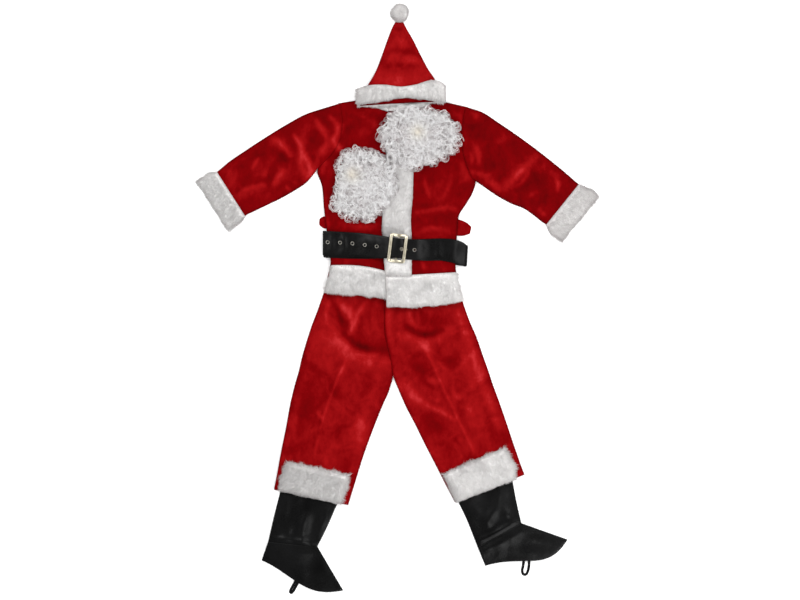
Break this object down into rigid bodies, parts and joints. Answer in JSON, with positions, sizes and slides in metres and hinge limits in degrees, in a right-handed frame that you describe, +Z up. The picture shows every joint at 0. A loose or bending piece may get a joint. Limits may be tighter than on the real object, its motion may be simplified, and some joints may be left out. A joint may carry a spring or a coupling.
{
  "type": "santa suit",
  "caption": "Child's Santa suit laid out flat: fur-trimmed plush jacket, trousers and hat, buckled belt, boot covers, curly wig and beard.",
  "frame": {"origin": "centre of the laid-out set's box, on the floor that it lies on", "axes": "+Y from the boot covers to the hat, +X to the wearer's left as seen from above, +Z up out of the suit's front"},
  "size_m": [1.048, 1.5318, 0.0532],
  "materials": {
    "red_plush": "deep red velour plush with a soft nap that lies in lighter and darker patches",
    "white_fur": "short dense white faux fur with slightly ragged edges",
    "white_curls": "white curly synthetic hair with a soft shine",
    "black_leatherette": "smooth satin black leatherette",
    "black_elastic": "matt black woven elastic",
    "pale_gold": "polished pale gold plating"
  },
  "bodies": {
    "root": {"beard": "white_curls", "belt_back": "black_leatherette", "belt_front": "black_leatherette", "belt_loop_left": "red_plush", "belt_loop_right": "red_plush", "belt_under": "black_leatherette", "boot_elastic_left": "black_elastic", "boot_elastic_right": "black_elastic", "boot_foot_left": "black_leatherette", "boot_foot_left_under": "black_leatherette", "boot_foot_right": "black_leatherette", "boot_foot_right_under": "black_leatherette", "boot_shaft_left": "black_leatherette", "boot_shaft_left_under": "black_leatherette", "boot_shaft_right": "black_leatherette", "boot_shaft_right_under": "black_leatherette", "buckle_frame": "pale_gold", "buckle_prong": "pale_gold", "collar_fur_back": "white_fur", "collar_fur_left": "white_fur", "collar_fur_right": "white_fur", "cuff_fur_left": "white_fur", "cuff_fur_left_under": "white_fur", "cuff_fur_right": "white_fur", "cuff_fur_right_under": "white_fur", "eyelet_1": "pale_gold", "eyelet_2": "pale_gold", "eyelet_3": "pale_gold", "eyelet_4": "pale_gold", "eyelet_5": "pale_gold", "eyelet_6": "pale_gold", "eyelet_7": "pale_gold", "hat_back": "red_plush", "hat_brim_fur_back": "white_fur", "hat_brim_fur_front": "white_fur", "hat_front": "red_plush", "hat_pompom": "white_fur", "hem_fur_back": "white_fur", "hem_fur_left": "white_fur", "hem_fur_right": "white_fur", "jacket_back": "red_plush", "jacket_front_left": "red_plush", "jacket_front_right": "red_plush", "placket_fur": "white_fur", "sleeve_back_left": "red_plush", "sleeve_back_right": "red_plush", "sleeve_front_left": "red_plush", "sleeve_front_right": "red_plush", "trouser_back_left": "red_plush", "trouser_back_right": "red_plush", "trouser_front_left": "red_plush", "trouser_front_right": "red_plush", "trouser_fur_left": "white_fur", "trouser_fur_right": "white_fur", "wig": "white_curls"}
  },
  "joints": []
}
